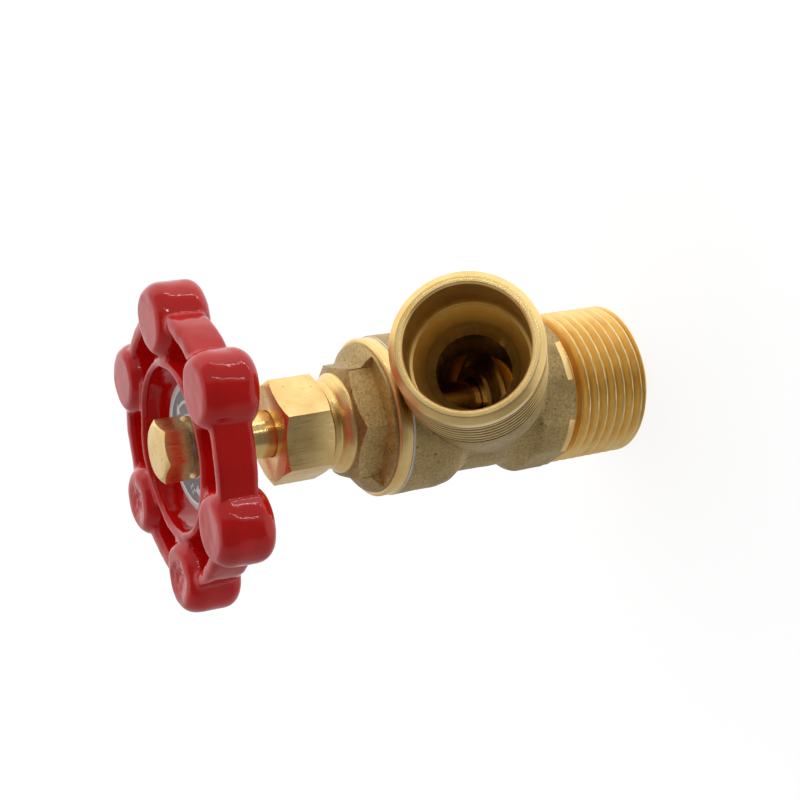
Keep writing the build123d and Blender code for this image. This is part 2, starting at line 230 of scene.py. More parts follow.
def cad_copy(node, name):
    """A CAD node's mesh as a new object in millimetres, with its split edges joined again."""
    obj = bpy.data.objects.new(name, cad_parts[node].data.copy())
    bpy.context.scene.collection.objects.link(obj)
    obj.data.materials.clear()
    obj.data.transform(Matrix.Scale(1 / MM, 4))
    edit(obj, lambda shape: bmesh.ops.remove_doubles(shape, verts=shape.verts, dist=1e-4))
    if obj.data.has_custom_normals:
        obj.data.attributes.remove(obj.data.attributes["custom_normal"])
    return obj


def join(name, parts):
    """Several objects as one mesh, which still overlap each other."""
    shape = bmesh.new()
    for part in parts:
        shape.from_mesh(part.data)
        bpy.data.objects.remove(part)
    obj = new_object(name, [], [])
    shape.to_mesh(obj.data)
    shape.free()
    return obj


def apply_modifier(obj, kind, **settings):
    """Add a modifier and write its result into the mesh."""
    modifier = obj.modifiers.new(kind, kind)
    for key, value in settings.items():
        setattr(modifier, key, value)
    evaluated = obj.evaluated_get(bpy.context.evaluated_depsgraph_get())
    mesh = bpy.data.meshes.new_from_object(evaluated)
    obj.modifiers.clear()
    obj.data = mesh


def fuse(obj, voxel, smoothing):
    """Melt overlapping closed shapes into one skin, and soften its edges and inner corners."""
    apply_modifier(obj, "REMESH", mode="VOXEL", voxel_size=voxel)
    apply_modifier(obj, "SMOOTH", factor=0.5, iterations=smoothing)


def cut(obj, cutter):
    """Take the cutter's shape out of obj, whose cut faces get the cutter's material."""
    apply_modifier(
        obj, "BOOLEAN", operation="DIFFERENCE", solver="MANIFOLD", object=cutter, material_mode="TRANSFER"
    )
    bpy.data.objects.remove(cutter)


def ripple(obj, amount, size, seed):
    """Move the surface in and out by up to amount, in swells about size across."""
    mesh = obj.data
    offset = Vector((seed * 17.3, seed * 5.1, seed * 9.7))
    normals = [Vector(normal.vector) for normal in mesh.vertex_normals]
    for vertex, normal in zip(mesh.vertices, normals):
        vertex.co += normal * (amount * noise.noise(vertex.co / size + offset))


def keep_inside(obj, node):
    """Push any vertex that a ripple took out of the CAD node's box back to its side."""
    corners = np.array([vertex.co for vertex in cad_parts[node].data.vertices]) / MM
    low, high = corners.min(axis=0), corners.max(axis=0)
    for vertex in obj.data.vertices:
        vertex.co = np.clip(vertex.co, low, high)


def finish_piece(obj, materials, body, nodes, sharp=35):
    """Metres, smooth shading with crisp edges, materials, and the piece's place in the frame."""
    obj.data.transform(Matrix.Scale(MM, 4))
    obj.data.shade_smooth()
    obj.data.set_sharp_from_angle(angle=radians(sharp))
    if len(obj.data.materials) == 0:
        for material in materials:
            obj.data.materials.append(material)
    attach(obj, body)
    if nodes:
        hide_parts(*nodes)
    return obj


# ---------------------------------------------------------------- material helpers
def add_node(tree, kind, inputs=None, **settings):
    """A shader node with its settings, and its inputs given as values or as sockets to link."""
    node = tree.nodes.new("ShaderNode" + kind)
    for key, value in settings.items():
        setattr(node, key, value)
    for key, value in (inputs or {}).items():
        if isinstance(value, bpy.types.NodeSocket):
            tree.links.new(value, node.inputs[key])
        else:
            node.inputs[key].default_value = value
    return node


def math_node(tree, operation, first, second=0.0):
    return add_node(tree, "Math", {0: first, 1: second}, operation=operation).outputs[0]


def noise_node(tree, coords, scale, detail=3.0, roughness=0.5):
    settings = {"Vector": coords, "Scale": scale, "Detail": detail, "Roughness": roughness}
    return add_node(tree, "TexNoise", settings).outputs[0]


def ramp(tree, value, *stops):
    """A colour or grey that follows value through (position, colour) stops."""
    node = add_node(tree, "ValToRGB", {"Fac": value})
    elements = node.color_ramp.elements
    while len(elements) < len(stops):
        elements.new(0.5)
    for element, (position, colour) in zip(elements, stops):
        element.position = position
        element.color = (*colour, 1) if isinstance(colour, tuple) else (colour, colour, colour, 1)
    return node.outputs[0]


def mix(tree, share, first, second, blend="MIX"):
    return add_node(
        tree, "MixRGB", {"Fac": share, "Color1": first, "Color2": second}, blend_type=blend
    ).outputs[0]


def new_material(name, **values):
    """A material with a Principled shader and its fixed values. Returns it with its tree and shader."""
    material = bpy.data.materials.new(name)
    material.use_nodes = True
    shader = material.node_tree.nodes["Principled BSDF"]
    for key, value in values.items():
        shader.inputs[key.replace("_", " ")].default_value = value
    return material, material.node_tree, shader


def object_coords(tree):
    return add_node(tree, "TexCoord").outputs["Object"]


def turning_coords(tree, outlet=False):
    """(radius, 0, height) about the stem axis or the outlet axis, so that a texture runs in rings."""
    coords = object_coords(tree)
    if outlet:
        place = {
            "Vector": coords,
            "Location": (0, 0, outlet_axis_height * MM),
            "Rotation": (radians(90 - outlet_lean), 0, 0),
        }
        coords = add_node(tree, "Mapping", place, vector_type="TEXTURE").outputs[0]
    split = add_node(tree, "SeparateXYZ", {0: coords}).outputs
    squares = math_node(
        tree, "ADD", math_node(tree, "POWER", split[0], 2.0), math_node(tree, "POWER", split[1], 2.0)
    )
    radius = math_node(tree, "SQRT", squares)
    return add_node(tree, "CombineXYZ", {0: radius, 2: split[2]}).outputs[0]


def bump(tree, shader, height, strength, distance):
    """Raise the surface by height. distance is the full height in metres."""
    node = add_node(tree, "Bump", {"Height": height, "Strength": strength, "Distance": distance})
    tree.links.new(node.outputs[0], shader.inputs["Normal"])
    return node


# ---------------------------------------------------------------- materials
def machined_brass(name, outlet=False, rough=0.28, tone=1.0, crest=None):
    """Turned brass: fine tool rings, a slow change of tone, and darker marks.

    crest is the radius over a thread's crests, below which the brass is darkened as painted shade in the
    thread roots.
    """
    material, tree, shader = new_material(name, Metallic=1.0, Roughness=rough)
    rings = turning_coords(tree, outlet)
    coords = object_coords(tree)
    fine = noise_node(tree, rings, 5200, detail=2)
    coarse = noise_node(tree, rings, 1300, detail=3)
    patches = noise_node(tree, coords, 170, detail=4, roughness=0.6)
    marks = noise_node(tree, coords, 900, detail=5, roughness=0.7)
    deep = tuple(min(channel * tone, 1) for channel in (0.80, 0.53, 0.19))
    light = tuple(min(channel * tone, 1) for channel in (0.93, 0.67, 0.28))
    colour = ramp(tree, patches, (0.30, deep), (0.62, light))
    ring_shade = ramp(tree, coarse, (0.30, 0.88), (0.60, 1.0))
    mark_shade = ramp(tree, marks, (0.24, 0.55), (0.36, 1.0))
    colour = mix(tree, 1.0, colour, ring_shade, "MULTIPLY")
    colour = mix(tree, 0.6, colour, mark_shade, "MULTIPLY")
    # Painted shade: the colour darkens from the crest radius down into the thread roots.
    if crest:
        radius = add_node(tree, "SeparateXYZ", {0: rings}).outputs[0]
        depth = add_node(
            tree, "MapRange", {"Value": radius, "From Min": (crest - 0.5) * MM, "From Max": crest * MM}
        ).outputs[0]
        colour = mix(tree, 1.0, colour, ramp(tree, depth, (0.0, 0.16), (0.8, 0.4), (1.0, 1.0)), "MULTIPLY")
    tree.links.new(colour, shader.inputs["Base Color"])
    gloss = ramp(tree, fine, (0.25, rough - 0.06), (0.75, rough + 0.14))
    tree.links.new(gloss, shader.inputs["Roughness"])
    height = mix(tree, 0.45, fine, coarse)
    bump(tree, shader, height, 0.5, 0.00002)
    return material


def milled_brass(name):
    """Bar stock with drawn flats: straight draw marks, small dents and dark specks."""
    material, tree, shader = new_material(name, Metallic=1.0, Roughness=0.3)
    coords = object_coords(tree)
    stretched = add_node(tree, "Mapping", {"Vector": coords, "Scale": (1, 1, 0.06)}).outputs[0]
    draw = noise_node(tree, stretched, 3800, detail=3)
    tone = noise_node(tree, coords, 260, detail=4)
    specks = noise_node(tree, coords, 1500, detail=3, roughness=0.6)
    dents = noise_node(tree, coords, 620, detail=2)
    colour = ramp(tree, tone, (0.30, (0.74, 0.49, 0.18)), (0.65, (0.90, 0.65, 0.28)))
    speck_shade = ramp(tree, specks, (0.27, 0.45), (0.36, 1.0))
    colour = mix(tree, 0.8, colour, speck_shade, "MULTIPLY")
    tree.links.new(colour, shader.inputs["Base Color"])
    tree.links.new(ramp(tree, draw, (0.3, 0.24), (0.7, 0.42)), shader.inputs["Roughness"])
    bump(tree, shader, mix(tree, 0.5, draw, dents), 0.45, 0.00003)
    return material


def cast_brass(name, grain=1.0, tone=1.0, rough=0.42):
    """Cast brass: sand texture, small pits, bright grains and slow patches of olive tarnish."""
    material, tree, shader = new_material(name, Metallic=1.0, Roughness=0.5)
    coords = object_coords(tree)
    sand = noise_node(tree, coords, 2200, detail=5, roughness=0.75)
    lumps = noise_node(tree, coords, 900, detail=3, roughness=0.6)
    patches = noise_node(tree, coords, 150, detail=4)
    pits = noise_node(tree, coords, 1100, detail=1)
    deep, light = [tuple(c * tone for c in shade) for shade in ((0.50, 0.35, 0.15), (0.66, 0.48, 0.21))]
    colour = ramp(tree, patches, (0.32, deep), (0.68, light))
    grain_shade = ramp(tree, sand, (0.34, 0.45), (0.60, 1.0))
    colour = mix(tree, 0.9, colour, grain_shade, "MULTIPLY")
    pit_shade = ramp(tree, pits, (0.22, 0.35), (0.30, 1.0))
    colour = mix(tree, 0.7, colour, pit_shade, "MULTIPLY")
    tree.links.new(colour, shader.inputs["Base Color"])
    tree.links.new(ramp(tree, sand, (0.3, rough), (0.7, rough + 0.2)), shader.inputs["Roughness"])
    height = mix(tree, 0.35, sand, lumps)
    bump(tree, shader, height, 0.9 * grain, 0.00022)
    return material


def red_enamel(name):
    """Dipped gloss enamel: a clear wet coat over red, gently uneven, deeper where it gathered."""
    material, tree, shader = new_material(
        name, Roughness=0.4, Specular_IOR_Level=0.0, Coat_Weight=1.0, Coat_Roughness=0.02, Coat_IOR=1.45
    )
    coords = object_coords(tree)
    pools = noise_node(tree, coords, 110, detail=2)
    swell = noise_node(tree, coords, 420, detail=1)
    dust = noise_node(tree, coords, 2400, detail=2)
    colour = ramp(tree, pools, (0.3, (0.56, 0.004, 0.003)), (0.7, (0.70, 0.008, 0.005)))
    specks = ramp(tree, dust, (0.26, 0.75), (0.36, 1.0))
    colour = mix(tree, 0.6, colour, specks, "MULTIPLY")
    tree.links.new(colour, shader.inputs["Base Color"])
    tree.links.new(ramp(tree, pools, (0.3, 0.26), (0.7, 0.38)), shader.inputs["Roughness"])
    node = bump(tree, shader, mix(tree, 0.2, swell, dust), 0.5, 0.00012)
    tree.links.new(node.outputs[0], shader.inputs["Coat Normal"])
    return material


def plate_metal(name, colour, metallic, rough):
    """Rolled sheet: straight grain, faint smudges and fine scratches."""
    material, tree, shader = new_material(name, Metallic=metallic, Roughness=rough)
    coords = object_coords(tree)
    stretched = add_node(tree, "Mapping", {"Vector": coords, "Scale": (0.05, 1, 1)}).outputs[0]
    grain = noise_node(tree, stretched, 5200, detail=3)
    smudge = noise_node(tree, coords, 380, detail=3)
    shade = ramp(tree, smudge, (0.3, 0.78), (0.62, 1.0))
    tree.links.new(mix(tree, 1.0, (*colour, 1), shade, "MULTIPLY"), shader.inputs["Base Color"])
    tree.links.new(ramp(tree, grain, (0.3, rough - 0.08), (0.7, rough + 0.1)), shader.inputs["Roughness"])
    bump(tree, shader, grain, 0.3, 0.00001)
    return material


def steel(name):
    """Spring steel: grey, lightly brushed in rings, with dark oil stains."""
    material, tree, shader = new_material(name, Metallic=1.0, Roughness=0.35)
    rings = noise_node(tree, turning_coords(tree), 4200, detail=3)
    stains = noise_node(tree, object_coords(tree), 500, detail=3)
    colour = ramp(tree, stains, (0.32, (0.26, 0.24, 0.20)), (0.6, (0.52, 0.50, 0.46)))
    tree.links.new(colour, shader.inputs["Base Color"])
    tree.links.new(ramp(tree, rings, (0.3, 0.26), (0.7, 0.48)), shader.inputs["Roughness"])
    bump(tree, shader, rings, 0.4, 0.00001)
    return material


def soft_ring(name, light, dark, rough, scale):
    """A pressed ring of PTFE or rubber: matt, faintly mottled and grained."""
    material, tree, shader = new_material(name, Roughness=rough, Specular_IOR_Level=0.4)
    coords = object_coords(tree)
    mottle = noise_node(tree, coords, scale, detail=4)
    tree.links.new(ramp(tree, mottle, (0.3, dark), (0.65, light)), shader.inputs["Base Color"])
    tree.links.new(ramp(tree, mottle, (0.3, rough - 0.1), (0.7, rough + 0.1)), shader.inputs["Roughness"])
    bump(tree, shader, noise_node(tree, coords, scale * 4, detail=3), 0.4, 0.00003)
    return material


turned = machined_brass("machined_brass")
turned_outlet = machined_brass("machined_brass_outlet", outlet=True)
# Outlet thread brass with painted shade darkening its thread roots.
threaded_outlet_root_shade = machined_brass("threaded_brass_outlet_painted_shade", outlet=True, crest=outlet_major_radius)
turned_inlet = machined_brass("machined_brass_inlet", rough=0.38, tone=1.08)
# Painted light: the socket and cone inside the outlet get brass lightened to 1.15 of its tone.
painted_light_bore = machined_brass("bored_brass_painted_light", outlet=True, rough=0.42, tone=1.15)
# Painted shade: the deep outlet bore gets brass at under half its tone.
shaded_bore = machined_brass("bore_painted_shade", outlet=True, rough=0.3, tone=0.45)
stem_brass = machined_brass("stem_brass", rough=0.16)
nut_brass = milled_brass("milled_brass")
body_cast = cast_brass("cast_brass")
bonnet_cast = cast_brass("cast_brass_bonnet", grain=0.5)
sawn = cast_brass("sawn_brass", grain=1.4, tone=1.4, rough=0.26)
enamel = red_enamel("red_enamel")
plate_silver = plate_metal("plate_aluminium", (0.92, 0.92, 0.92), 0.1, 0.35)
plate_grey = plate_metal("plate_grey_print", (0.30, 0.30, 0.31), 0.1, 0.45)
ptfe = soft_ring("white_ptfe", (0.92, 0.92, 0.92), (0.82, 0.82, 0.82), 0.4, 600)
rubber = soft_ring("seat_rubber", (0.040, 0.038, 0.036), (0.018, 0.017, 0.016), 0.6, 1500)
spring_steel = steel("spring_steel")


# ---------------------------------------------------------------- valve body
def cutter_lathe(name, outline, material):
    """A solid of revolution for cutting, in the material that its cut faces will have."""
    obj = lathe(name, outline, segments=128)
    obj.data.materials.append(material)
    return obj


def bonnet_clearance():
    """The machined seat for the bonnet flange, which also trims the top of the branch."""
    outline = [(0, body_top), (flange_radius + 0.5, body_top), (flange_radius + 0.5, 60), (0, 60)]
    return cutter_lathe("clearance", outline, turned)


def body_casting():
    """Collar, waist, wrench hexagon and branch as one casting, then machined inside and at its ends."""
    trunk = lathe(
        "trunk",
        [
            (4, wrench_height - 0.6),
            (waist_radius, wrench_height - 0.6),
            (waist_radius, collar_bottom - 2.4),
            (collar_radius - 0.3, collar_bottom),
            (collar_radius, collar_bottom + 1.6),
            (collar_radius, body_top + 1.2),
            (4, body_top + 1.2),
        ],
    )
    branch = lathe(
        "branch",
        [
            (3, 3),
            (branch_radius - 1.2, 3),
            (branch_radius, outlet_start - 8.6),
            (branch_radius, outlet_start + 1.5),
            (3, outlet_start + 1.5),
        ],
    )
    branch.data.transform(outlet_frame)
    wrench = hexagon("wrench", wrench_flats, wrench_turn, wrench_height - 0.6, wrench_top + 1.8)
    slope = [
        (wrench_corner_radius, wrench_height - 1),
        (wrench_corner_radius, wrench_top - 0.8),
        (waist_radius - 0.3, wrench_top + 1.8),
        (20, wrench_top + 1.8),
        (20, wrench_height - 1),
    ]
    cut(wrench, cutter_lathe("slope", slope, body_cast))
    casting = join("body_casting", [trunk, branch, wrench])
    fuse(casting, 0.26, 9)
    ripple(casting, 0.12, 6.0, seed=1)
    ripple(casting, 0.05, 1.6, seed=2)
    casting.data.materials.clear()
    casting.data.materials.append(body_cast)
    cut(casting, bonnet_clearance())
    # Hexagon corners turned to a narrow land by the inlet thread.
    corners = [
        (wrench_land_radius - 1.45, wrench_height - 2),
        (wrench_land_radius - 1.45, wrench_height),
        (wrench_land_radius - 0.3, wrench_height),
        (wrench_land_radius, wrench_height + 0.3),
        (wrench_land_radius, wrench_land_top),
        (wrench_corner_radius, wrench_land_top + 0.3),
        (20, wrench_land_top + 0.3),
        (20, wrench_height - 2),
    ]
    cut(casting, cutter_lathe("corners", corners, turned))
    # Everything above the branch's thread is a piece of its own.
    beyond = [(0, outlet_start), (16, outlet_start), (16, 30), (0, 30)]
    end = cutter_lathe("branch_end", beyond, turned_outlet)
    end.data.transform(outlet_frame)
    cut(casting, end)
    # Way through, from the inlet to the bonnet's socket.
    way = [
        (0, wrench_height - 2),
        (inlet_bore_radius, wrench_height - 2),
        (seat_bore_radius, wrench_height + 0.7),
        (seat_bore_radius, seat_height),
        (seat_land_radius, seat_height),
        (seat_land_radius + 0.4, seat_height - 1.2),
        (chamber_radius, seat_height - 1.2),
        (chamber_radius, bonnet_socket_bottom),
        (bonnet_socket_radius, bonnet_socket_bottom + 0.8),
        (bonnet_socket_radius, body_top + 1),
        (0, body_top + 1),
    ]
    cut(casting, cutter_lathe("way", way, turned))
    cone_end = socket_bottom - 6.4
    bore = [(0, 0), (outlet_bore_radius, 0), (outlet_bore_radius, cone_end + 0.1), (0, cone_end + 0.1)]
    cone = [
        (0, cone_end),
        (outlet_bore_radius, cone_end),
        (socket_radius - 0.5, socket_bottom),
        (0, socket_bottom),
    ]
    # The bore is cut in brass darkened with painted shade, the cone in brass lightened with painted light.
    for outline, material in ((bore, shaded_bore), (cone, painted_light_bore)):
        cutter = cutter_lathe("bore", outline, material)
        cutter.data.transform(outlet_frame)
        cut(casting, cutter)
    return finish_piece(casting, [body_cast], "valve", ["valve_body"])


def inlet_thread():
    """Threaded inlet with its end chamfer and bore."""
    root = inlet_major_radius - inlet_thread_depth
    outline = [
        (inlet_bore_radius, wrench_height - 2.2),
        (inlet_bore_radius, 0.35),
        (inlet_bore_radius + 0.35, 0),
        (root - 0.25, 0),
        (inlet_major_radius, inlet_chamfer),
        *risers(inlet_major_radius, inlet_chamfer + 0.05, inlet_thread_end),
        (root, inlet_thread_end + 0.3),
        (root, wrench_height + 0.3),
        (inlet_bore_radius + 0.3, wrench_height + 0.3),
    ]
    thread_start = inlet_chamfer + 0.2
    relief = thread_relief(inlet_major_radius, inlet_thread_depth, inlet_pitch, thread_start, inlet_thread_end)
    obj = lathe("inlet_thread", eased(outline, 0.12), segments=288, relief=relief)
    return finish_piece(obj, [turned_inlet], "valve", ["valve_body"], sharp=50)


def outlet_nozzle():
    """Threaded outlet with its land, face, socket and the cone down to the bore."""
    root = outlet_major_radius - outlet_thread_depth
    cone_slope = (socket_radius - 0.5 - outlet_bore_radius) / 6.4
    cone_start_radius = socket_radius - 0.5 - cone_slope * (socket_bottom - outlet_start + 0.15)
    outline = [
        (cone_start_radius, outlet_start - 0.15),
        (root - 0.15, outlet_start - 0.15),
        *risers(outlet_major_radius, outlet_thread_start, outlet_land_start - 0.3),
        (root, outlet_land_start - 0.25),
        (root, outlet_land_start),
        (outlet_major_radius, outlet_land_start + 0.45),
        (outlet_major_radius, outlet_length - 0.9),
        (outlet_major_radius - 1.02, outlet_length),
        (socket_radius + 0.3, outlet_length),
        (socket_radius, outlet_length - 0.3),
        (socket_radius, socket_bottom),
        (socket_radius - 0.5, socket_bottom),
    ]
    relief = thread_relief(
        outlet_major_radius, outlet_thread_depth, outlet_pitch, outlet_thread_start, outlet_land_start
    )
    obj = lathe("outlet_nozzle", eased(outline, 0.08), segments=288, relief=relief)
    for material in (turned_outlet, painted_light_bore, threaded_outlet_root_shade):
        obj.data.materials.append(material)
    # Socket faces take the brass with painted light, thread faces the brass with painted shade in the roots.
    for face in obj.data.polygons:
        if hypot(face.center.x, face.center.y) < socket_radius + 0.05:
            face.material_index = 1
        elif face.center.z < outlet_land_start + 0.1:
            face.material_index = 2
    obj.data.transform(outlet_frame)
    cut(obj, bonnet_clearance())
    return finish_piece(obj, [turned_outlet], "valve", ["valve_body"], sharp=50)


# ---------------------------------------------------------------- bonnet
def bonnet_casting():
    """Cast dome above the flange, with four flats sawn down through it to a ledge."""
    dome = lathe(
        "dome",
        [
            (6.5, flange_top - 0.6),
            (flange_radius - 0.7, flange_top - 0.6),
            (flange_radius - 0.7, flange_top + 0.2),
            (flange_radius - 1.0, flange_top + 0.8),
            (flange_radius - 1.9, flange_top + 1.6),
            (flange_radius - 3.4, flange_top + 2.5),
            (bonnet_flats / 2 + 0.2, flange_top + 3.3),
            (bonnet_flats / 2 + 0.2, bonnet_hexagon_top - 0.5),
            (neck_collar_radius, bonnet_hexagon_top),
            (6.5, bonnet_hexagon_top),
        ],
    )
    nut = hexagon("nut", bonnet_flats + 0.4, bonnet_turn, flange_top - 0.5, bonnet_hexagon_top)
    casting = join("bonnet_casting", [dome, nut])
    fuse(casting, 0.2, 5)
    ripple(casting, 0.07, 2.2, seed=3)
    casting.data.materials.clear()
    casting.data.materials.append(bonnet_cast)
    half_side = bonnet_flats / 2 * tan(radians(30))
    for turn, side in ((-90, 1), (-150, -1), (30, -1), (90, 1)):
        corner = Vector((bonnet_flats / 2, side * half_side))
        outline = [corner, corner * 2, (corner.x * 2, -side * 15), (corner.x, -side * 15)]
        flat = prism("flat", outline[::-side], flange_top + 0.5, bonnet_hexagon_top + 1)
        flat.data.transform(Matrix.Rotation(radians(bonnet_turn + turn), 4, "Z"))
        flat.data.materials.append(sawn)
        cut(casting, flat)
    corners = [
        (bonnet_flats / 2 + 1.5, bonnet_hexagon_top - 1.1),
        (neck_collar_radius - 0.05, bonnet_hexagon_top),
        (neck_collar_radius - 0.05, bonnet_hexagon_top + 1),
        (20, bonnet_hexagon_top + 1),
        (20, bonnet_hexagon_top - 1.1),
    ]
    cut(casting, cutter_lathe("corners", corners, bonnet_cast))
    hole = [(0, 40), (7.5, 40), (7.5, 60), (0, 60)]
    cut(casting, cutter_lathe("hole", hole, turned))
    return finish_piece(casting, [bonnet_cast], "valve", ["bonnet"])


def bonnet_turning():
    """The bonnet's machined parts: spigot, flange, stem way, stuffing box and threaded neck."""
    top = bonnet_hexagon_top
    outline = [
        (stem_way_radius, bonnet_socket_bottom + 1),
        (bonnet_socket_radius - 1, bonnet_socket_bottom + 1),
        (bonnet_socket_radius - 0.1, bonnet_socket_bottom + 2),
        (bonnet_socket_radius - 0.1, flange_bottom),
        (flange_radius - 0.15, flange_bottom),
        (flange_radius, flange_bottom + 0.15),
        (flange_radius, flange_top - 0.25),
        (flange_radius - 0.35, flange_top),
        (7.7, flange_top),
        (7.7, top - 0.3),
        (neck_collar_radius, top - 0.3),
        (neck_collar_radius, top + 0.4),
        (neck_ring_radius, top + 1.6),
        (neck_ring_radius - 0.3, top + 1.8),
        (neck_ring_radius, top + 2.0),
        (neck_ring_radius, nut_bottom - 0.3),
        (neck_ring_radius - 0.3, nut_bottom - 0.1),
        (neck_radius - 0.5, nut_bottom - 0.1),
        *risers(neck_radius, nut_bottom, neck_top - 0.3),
        (neck_radius - 0.5, neck_top),
        (box_radius, neck_top),
        (box_radius, box_bottom),
        (stem_way_radius, box_bottom),
    ]
    relief = thread_relief(neck_radius, 0.5, 1.0, nut_bottom - 0.1, neck_top)
    obj = lathe("bonnet_turning", eased(outline, 0.1), segments=224, relief=relief)
    return finish_piece(obj, [turned], "valve", ["bonnet"], sharp=50)


# ---------------------------------------------------------------- nuts
def bevelled_nut(node, name, width):
    """A CAD nut with its flats made whole and its hard edges eased."""
    obj = cad_copy(node, name)

    def ease(shape):
        bmesh.ops.dissolve_limit(
            shape, angle_limit=radians(1.5), verts=shape.verts, edges=shape.edges
        )
        hard = [e for e in shape.edges if len(e.link_faces) == 2 and e.calc_face_angle() > radians(22)]
        bmesh.ops.bevel(
            shape, geom=hard, offset=width, segments=2, profile=0.6, affect="EDGES", clamp_overlap=True
        )

    edit(obj, ease)
    return obj


def packing_nut():
    obj = bevelled_nut("packing_nut", "packing_nut_visual", 0.1)
    return finish_piece(obj, [nut_brass], "valve", ["packing_nut"], sharp=40)


def handwheel_nut():
    obj = bevelled_nut("handwheel_nut", "handwheel_nut_visual", 0.12)
    return finish_piece(obj, [nut_brass], "stem_and_wheel", ["handwheel_nut"], sharp=40)


# ---------------------------------------------------------------- handwheel and its plate
def dent(obj, angle, radius, depth, seed):
    """A shallow uneven crater in a knob's front face, as where the enamel sank."""
    centre = Vector((knob_circle_radius * cos(radians(angle)), knob_circle_radius * sin(radians(angle)), 0))
    for vertex in obj.data.vertices:
        if vertex.co.z < knob_front - 2:
            continue
        flat = Vector((vertex.co.x, vertex.co.y, 0)) - centre
        reach = flat.length / (radius * (1 + 0.2 * noise.noise(flat / 2 + Vector((seed, 0, 0)))))
        if reach < 1:
            unevenness = 0.8 + 0.5 * noise.noise(flat + Vector((0, seed, 0)))
            vertex.co.z -= depth * (1 - reach**2) ** 2 * unevenness


def handwheel():
    """The cast wheel under its thick dipped coat, which rounds every edge and fills the corners."""
    obj = cad_copy("handwheel", "handwheel_enamelled")
    fuse(obj, 0.3, 14)
    ripple(obj, 0.22, 7.0, seed=4)
    ripple(obj, 0.06, 2.2, seed=5)
    for seed, angle in enumerate(dented_knob_angles):
        dent(obj, angle, 3.9, 0.8, seed * 3.7)
    keep_inside(obj, "handwheel")
    return finish_piece(obj, [enamel], "stem_and_wheel", ["handwheel"], sharp=180)


def plate_blank():
    """Pressed disc with a raised bright rim and a sunken printed band."""
    back = plate_back
    outline = [
        (plate_hole_radius, back),
        (plate_radius, back),
        (plate_radius, back + 0.35),
        (plate_radius - 0.25, back + 0.44),
        (plate_radius - 1.0, back + 0.44),
        (plate_radius - 1.2, back + 0.3),
        (5.2, back + 0.3),
        (5.0, back + 0.4),
        (plate_hole_radius, back + 0.4),
    ]
    obj = lathe("id_plate_blank", eased(outline, 0.05), segments=160)
    for material in (plate_silver, plate_grey):
        obj.data.materials.append(material)
    for face in obj.data.polygons:
        middle = hypot(face.center.x, face.center.y)
        if 5.2 < middle < plate_radius - 1.2 and face.center.z > back + 0.2:
            face.material_index = 1
    return finish_piece(obj, [], "stem_and_wheel", ["id_plate"])


def band(radius, width, start, end):
    """Outline of a curved stripe, angles in degrees."""
    outer = arc((0, 0), radius + width / 2, start, end, 24)
    inner = arc((0, 0), radius - width / 2, end, start, 24)
    return outer + inner


def arrow_head(radius, angle, way, size):
    """Outline of a triangle on a circle, pointing round it."""
    tip = angle + way * np.degrees(size * 1.5 / radius)
    points = [
        arc((0, 0), radius + size * 0.8, angle, angle, 1)[0],
        arc((0, 0), radius - size * 0.8, angle, angle, 1)[0],
        arc((0, 0), radius, tip, tip, 1)[0],
    ]
    return points[::way]


def bar(radius, angle, along, across):
    """Outline of a small rectangle centred on a circle, its long side around it or across it."""
    centre = Vector(arc((0, 0), radius, angle, angle, 1)[0])
    out = centre.normalized()
    side = Vector((-out.y, out.x))
    corners = ((-1, -1), (1, -1), (1, 1), (-1, 1))
    return [tuple(centre + out * (u * across / 2) + side * (v * along / 2)) for u, v in corners]


def plate_marks():
    """Generic marks on the band: two curved arrows, with a minus by one and a plus by the other."""
    outlines = []
    for middle, way in ((0, 1), (180, -1)):
        outlines.append(band(7.2, 0.55, middle - 34 + 22 * (way < 0), middle + 34 - 22 * (way > 0)))
        outlines.append(arrow_head(7.2, middle + 12 * way, way, 1.25))
        outlines.append(bar(7.2, middle + 36 * way, 1.9, 0.55))
    outlines.append(bar(7.2, 180 - 36, 0.55, 1.9))
    prisms = [prism("mark", outline, plate_back + 0.25, plate_back + 0.38) for outline in outlines]
    obj = join("plate_marks", prisms)
    edit(obj, lambda shape: bmesh.ops.recalc_face_normals(shape, faces=shape.faces))
    return finish_piece(obj, [plate_silver], "stem_and_wheel", ["id_plate"])


# ---------------------------------------------------------------- everything in place
body_casting()
inlet_thread()
outlet_nozzle()
bonnet_casting()
bonnet_turning()
packing_nut()
handwheel_nut()
handwheel()
plate_blank()
plate_marks()

cad_materials = {
    "bonnet_gasket": ptfe,
    "packing_washer": turned,
    "packing_ring_lower": ptfe,
    "packing_ring_middle": ptfe,
    "packing_ring_upper": ptfe,
    "gland_follower": turned,
    "disc_holder": turned,
    "disc_clip": spring_steel,
    "seat_disc": rubber,
    "disc_washer": turned,
    "disc_nut": nut_brass,
    "stem": stem_brass,
    "wheel_washer": turned,
    "spring_washer": spring_steel,
}
for node, material in cad_materials.items():
    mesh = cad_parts[node].data
    mesh.materials.clear()
    mesh.materials.append(material)


# ---------------------------------------------------------------- floor, light and camera
camera_azimuth = radians(-14.85)
camera_elevation = radians(26.4)
camera_roll = radians(-99.2)
camera_aim = Vector((0, 0, 0.0488))
camera_offset = (0.00523, 0.00289, 0.2525)
camera_lens = 67.5

level = Vector((cos(camera_azimuth), sin(camera_azimuth), 0))
camera_back = Vector(
    (
        sin(camera_azimuth) * cos(camera_elevation),
        -cos(camera_azimuth) * cos(camera_elevation),
        sin(camera_elevation),
    )
)
upright = camera_back.cross(level)
camera_right = level * cos(camera_roll) + upright * sin(camera_roll)
camera_up = camera_back.cross(camera_right)


def place(obj, location, right, up, back):
    """Put a camera or light at location, with its own axes along right, up and back."""
    turn = Matrix((right, up, back)).transposed().to_4x4()
    obj.matrix_world = Matrix.Translation(location) @ turn


